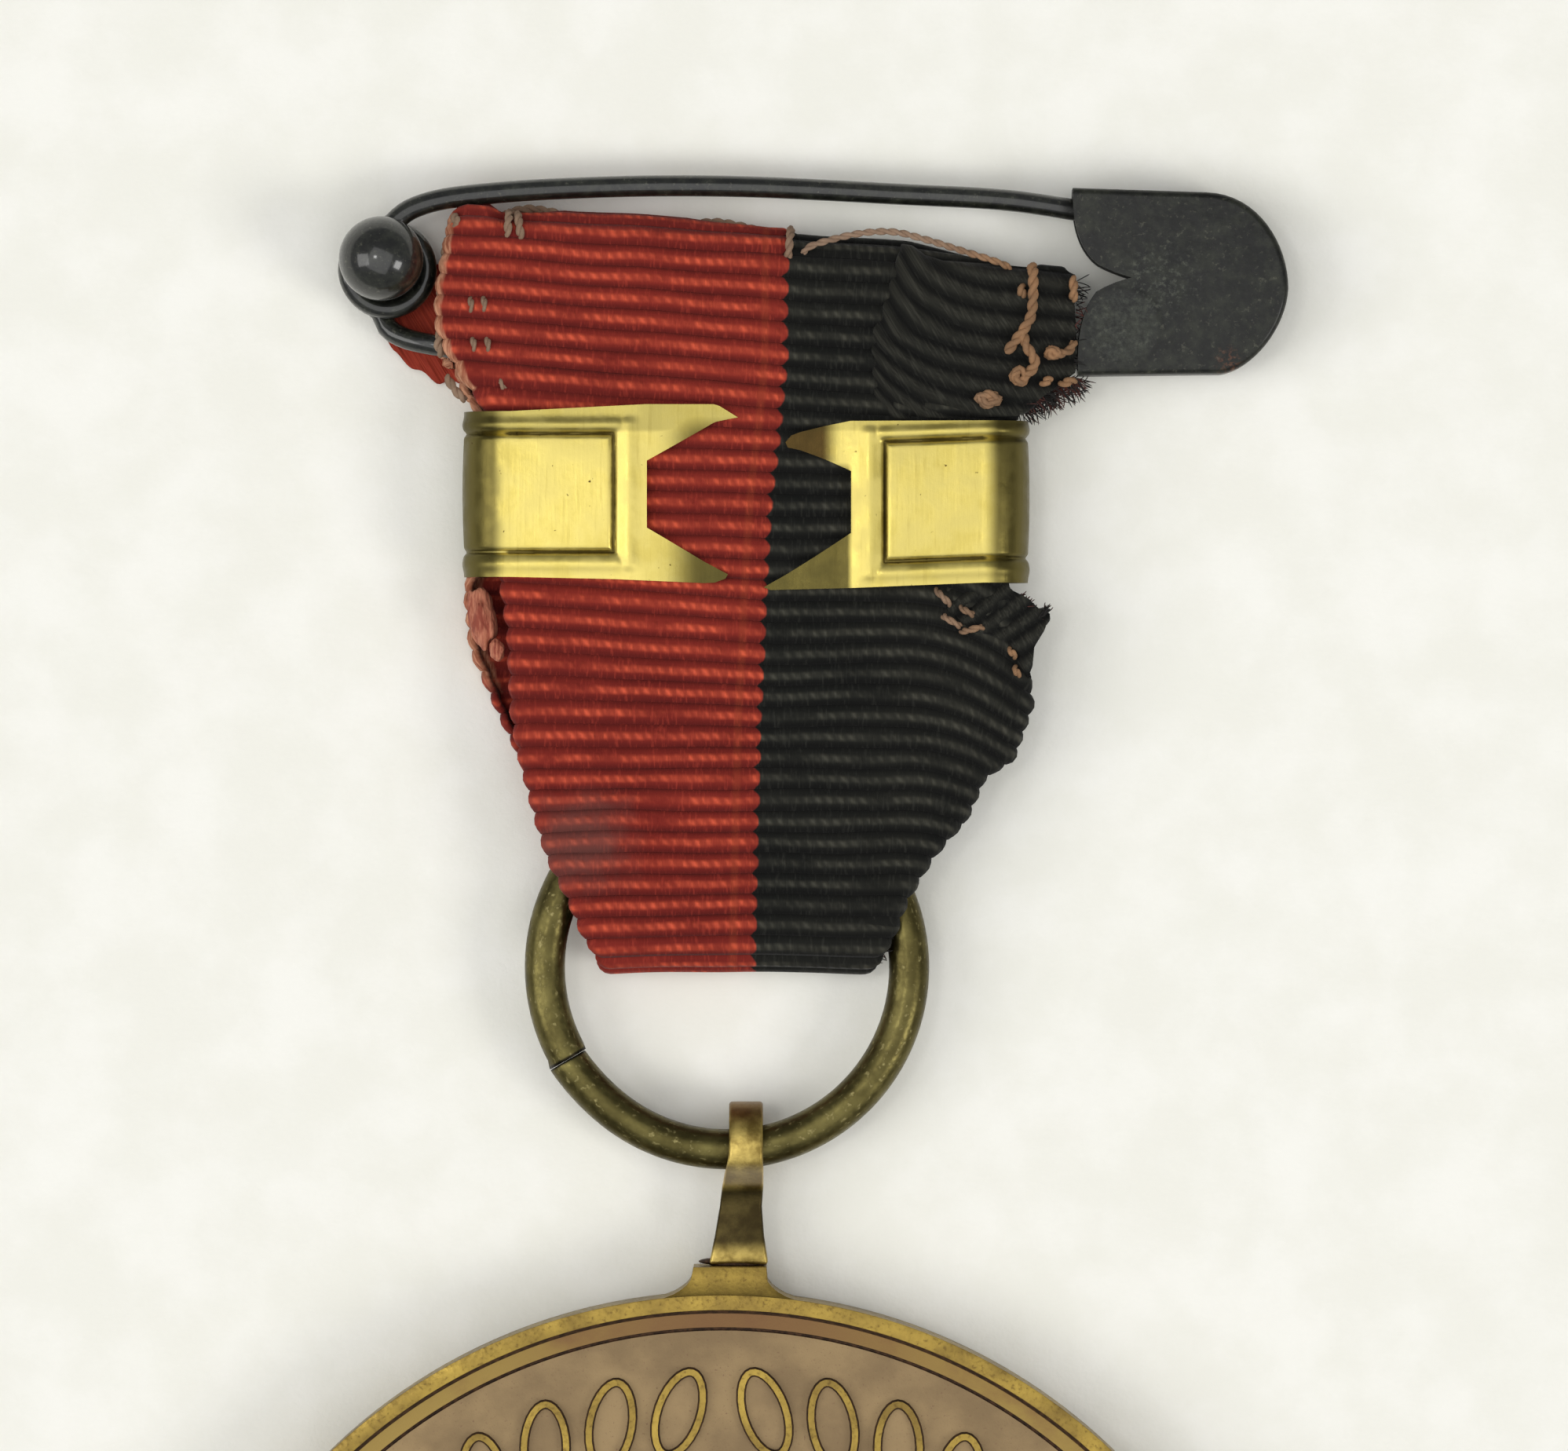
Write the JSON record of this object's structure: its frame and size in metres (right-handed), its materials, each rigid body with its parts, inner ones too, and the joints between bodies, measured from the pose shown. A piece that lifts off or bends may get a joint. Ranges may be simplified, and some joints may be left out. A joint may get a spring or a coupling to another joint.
{
  "type": "service medal",
  "caption": "Struck bronze disc hung by a bail and split ring from a two-colour ribbed ribbon, gripped by a pressed brass bar and carried on a black safety pin.",
  "frame": {"origin": "centre of the plain roundel on the disc's back, which rests on the table", "axes": "+X to the right of the face, +Y from the disc up through the ribbon to the pin, +Z out of the face"},
  "size_m": [0.0318, 0.0632, 0.0034],
  "materials": {
    "bronze": "struck bronze: matte red-brown field, worn golden rim and relief",
    "bail_bronze": "satin golden bronze, dark in the corners",
    "antique_brass": "satin olive-brown wire with a paler worn top",
    "pressed_brass": "bright pressed sheet, darker in the sunken line and at the bends",
    "ribbon_cloth": "ribbed silk-like weave, one half red and one half black",
    "black_enamel": "satin black japanned wire and sheet, lightly rubbed",
    "sewing_thread": "twisted pinkish-tan sewing thread"
  },
  "bodies": {
    "ribbon": {"ribbon_upper": "ribbon_cloth", "ribbon_under_flap": "ribbon_cloth", "ribbon_side_flap": "ribbon_cloth", "ribbon_bar": "pressed_brass", "thread_loose": "sewing_thread", "thread_tail": "sewing_thread", "thread_hook": "sewing_thread", "stitch_top_left": "sewing_thread", "stitch_top_inner": "sewing_thread", "stitch_top_middle": "sewing_thread", "stitch_flap_1": "sewing_thread", "stitch_flap_2": "sewing_thread", "stitch_flap_3": "sewing_thread", "knot_upper": "sewing_thread", "knot_lower": "sewing_thread"},
    "fold": {"ribbon_loop": "ribbon_cloth"},
    "ring": {"split_ring": "antique_brass"},
    "medal": {"medal_disc": "bronze", "bail": "bail_bronze"},
    "pin": {"pin_fixed_arm": "black_enamel", "spring_coil": "black_enamel", "ball_rivet": "black_enamel", "guard_cap": "black_enamel"},
    "needle": {"pin_needle": "black_enamel"}
  },
  "joints": [
    {"name": "pin_swing", "type": "hinge", "parent": "ribbon", "child": "pin", "pos_m": [0, 0.0424, 0.0012], "axis": [1, 0, 0], "range_deg": [0, 140]},
    {"name": "needle_press", "type": "hinge", "parent": "pin", "child": "needle", "pos_m": [-0.00945, 0.04495, 0.00147], "axis": [0, 0, -1], "range_deg": [0, 4], "stiffness_Nm_per_rad": 0.08, "springref_deg": -14.32},
    {"name": "ribbon_bend", "type": "hinge", "parent": "ribbon", "child": "fold", "pos_m": [0, 0.03155, 0.0023], "axis": [-1, 0, 0], "range_deg": [0, 60]},
    {"name": "ring_turn", "type": "hinge", "parent": "fold", "child": "ring", "pos_m": [0.00014, 0.02504, 0.0014], "axis": [0, 0, 1], "continuous": true},
    {"name": "medal_swing", "type": "hinge", "parent": "fold", "child": "medal", "pos_m": [0.0006, 0.01992, 0.0014], "axis": [-1, 0, 0], "range_deg": [0, 110]}
  ]
}
